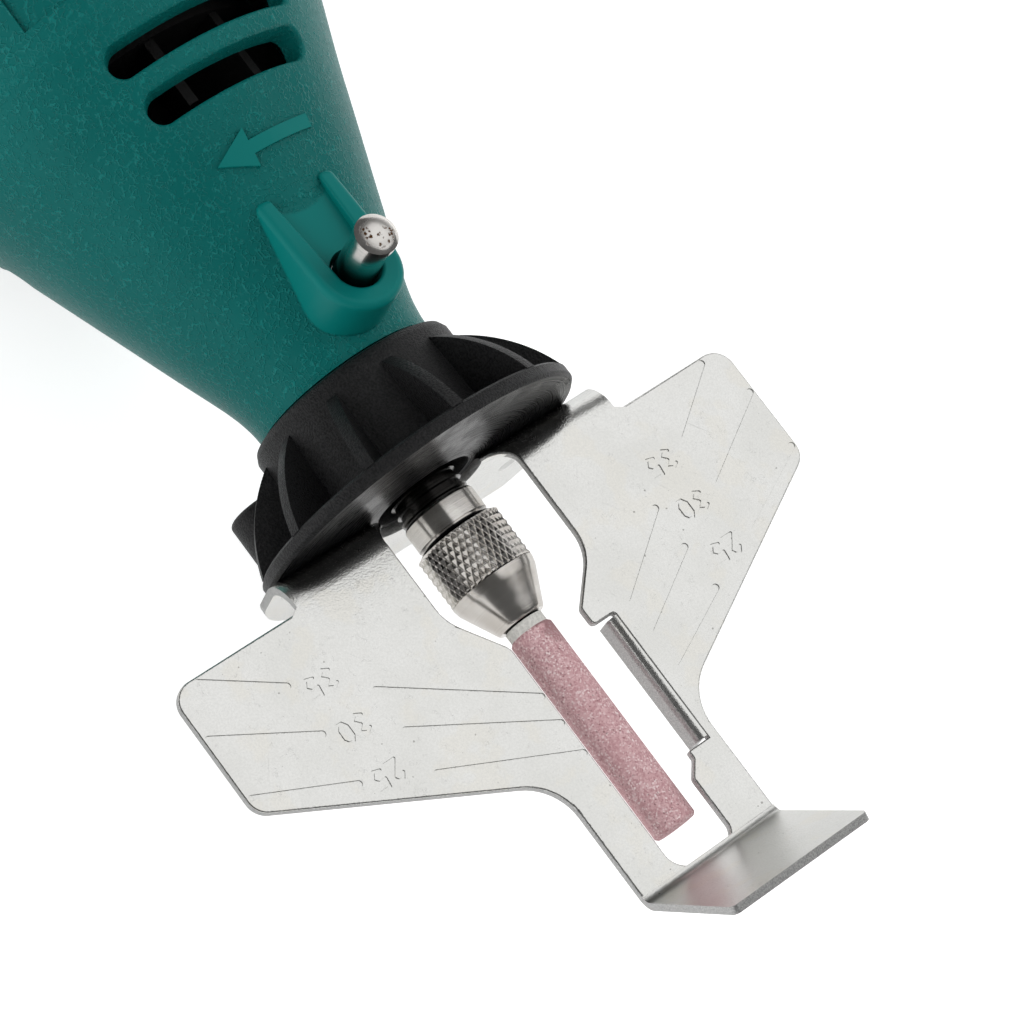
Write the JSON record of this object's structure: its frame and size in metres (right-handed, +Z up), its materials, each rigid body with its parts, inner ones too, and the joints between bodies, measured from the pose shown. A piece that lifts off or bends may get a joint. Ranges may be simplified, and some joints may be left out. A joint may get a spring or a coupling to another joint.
{
  "type": "handheld chain sharpening grinder",
  "caption": "Handheld electric mini grinder with a pink grinding stone in a knurled chuck and a bent steel angle guide for sharpening saw chain.",
  "frame": {"origin": "middle of the rest flat under the barrel, 98 mm behind the guide holder's flange face", "axes": "+X along the spindle towards the grinding stone, +Z up through the spindle lock pin, +Y to the right wing's side"},
  "size_m": [0.2425, 0.0794, 0.0526],
  "materials": {
    "teal_plastic": "fine leather grain, smooth on bosses",
    "black_plastic": "fine spark texture, satin front face",
    "black_rubber": "matt",
    "bearing_steel": "ground",
    "black_steel": "black oxide",
    "nickel_steel": "bright nickel",
    "zinc_plate": "bright zinc, fine scratches",
    "zinc_screws": "zinc",
    "spring_steel": "drawn wire",
    "lamination_steel": "stacked laminations",
    "enamelled_copper": "enamelled winding",
    "copper": "turned copper",
    "brass": "turned brass",
    "carbon": "pressed carbon",
    "stone_cement": "matt",
    "pink_abrasive": "open grain"
  },
  "bodies": {
    "housing": {"front_housing": "teal_plastic", "rear_cover": "teal_plastic", "cover_screws": "zinc_screws", "cord_bush": "black_rubber", "front_bearing_outer": "bearing_steel", "rear_bearing_outer": "bearing_steel", "rear_bearing_boot": "black_rubber", "baffle_ring": "black_plastic", "stator_core": "lamination_steel", "field_coils": "enamelled_copper", "brush_holder_right": "brass", "brush_right": "carbon", "brush_spring_right": "spring_steel", "brush_cap_right": "black_plastic", "brush_holder_left": "brass", "brush_left": "carbon", "brush_spring_left": "spring_steel", "brush_cap_left": "black_plastic", "lock_spring": "spring_steel", "switch_module": "black_plastic", "speed_control": "black_plastic"},
    "rotor": {"spindle": "black_steel", "front_bearing_inner": "bearing_steel", "front_bearing_balls": "bearing_steel", "rear_bearing_inner": "bearing_steel", "rear_bearing_balls": "bearing_steel", "lock_collar": "bearing_steel", "fan": "black_plastic", "armature_core": "lamination_steel", "armature_windings": "enamelled_copper", "commutator": "copper", "chuck_body": "nickel_steel", "collet": "black_steel", "stone_shank": "nickel_steel", "stone_collar": "stone_cement", "grinding_stone": "pink_abrasive"},
    "chuck_nut": {"chuck_nut": "nickel_steel"},
    "guide": {"guide_holder": "black_plastic", "guide_plate": "zinc_plate", "guide_screws": "zinc_screws"},
    "lock_pin": {"lock_pin": "nickel_steel"},
    "switch": {"switch_slider": "black_plastic"},
    "speed_dial": {"speed_dial": "black_plastic"}
  },
  "joints": [
    {"name": "spindle_spin", "type": "hinge", "parent": "housing", "child": "rotor", "pos_m": [0.098, 0, 0.0256], "axis": [1, 0, 0], "continuous": true},
    {"name": "nut_turn", "type": "hinge", "parent": "rotor", "child": "chuck_nut", "pos_m": [0.108, 0, 0.0256], "axis": [1, 0, 0], "range_deg": [0, 180]},
    {"name": "guide_turn", "type": "hinge", "parent": "housing", "child": "guide", "pos_m": [0.09, 0, 0.0256], "axis": [1, 0, 0], "range_deg": [-20, 20]},
    {"name": "lock_press", "type": "slide", "parent": "housing", "child": "lock_pin", "axis": [0, 0, -1], "range_m": [0, 0.0036], "stiffness_N_per_m": 500, "deforming": ["lock_spring"]},
    {"name": "switch_slide", "type": "slide", "parent": "housing", "child": "switch", "axis": [1, 0, 0], "range_m": [0, 0.004]},
    {"name": "dial_turn", "type": "hinge", "parent": "housing", "child": "speed_dial", "pos_m": [-0.067, 0, 0.0428], "axis": [0, 1, 0], "range_deg": [0, 270]}
  ]
}
